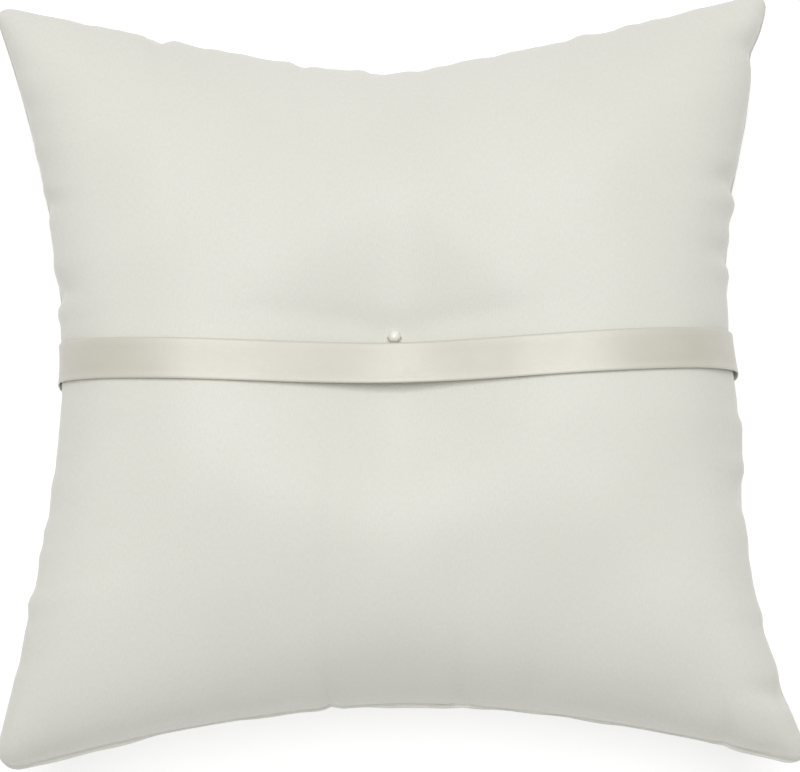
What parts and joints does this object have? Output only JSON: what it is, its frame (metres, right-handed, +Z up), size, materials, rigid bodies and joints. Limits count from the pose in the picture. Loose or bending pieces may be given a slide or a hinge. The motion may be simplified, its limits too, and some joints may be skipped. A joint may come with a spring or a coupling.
{
  "type": "ring bearer pillow",
  "caption": "Square stuffed satin pillow with pulled-in sides, a pearl sewn into a shallow centre tuft and a satin ribbon band round its waist for holding wedding rings.",
  "frame": {"origin": "on the floor, under the middle of the pillow, which lies on its back", "axes": "+Z up out of the dressed face with the pearl, +Y towards the pillow's top edge, +X towards its right edge seen from the dressed face"},
  "size_m": [0.201, 0.197, 0.0633],
  "materials": {
    "cover_satin": "ivory dull satin, fine weave, soft sheen",
    "polyester_fibre": "loose white polyester fibre",
    "sewing_thread": "ivory polyester thread",
    "imitation_pearl": "cream pearl lacquer",
    "ribbon_satin": "ivory double-face satin with woven edges"
  },
  "bodies": {
    "pillow": {"front_panel": "cover_satin", "back_panel": "cover_satin", "fibre_fill": "polyester_fibre", "seam_thread": "sewing_thread", "closing_thread": "sewing_thread", "tuft_thread": "sewing_thread"},
    "ribbon": {"ribbon_band": "ribbon_satin", "ribbon_join_thread": "sewing_thread"},
    "pearl": {"front_pearl": "imitation_pearl"}
  },
  "joints": [
    {"name": "ribbon_slide", "type": "slide", "parent": "pillow", "child": "ribbon", "axis": [0, -1, 0], "range_m": [0, 0.006]},
    {"name": "pearl_spin", "type": "hinge", "parent": "pillow", "child": "pearl", "pos_m": [0, 0.0068, 0.0598], "axis": [1, 0, 0], "continuous": true}
  ]
}
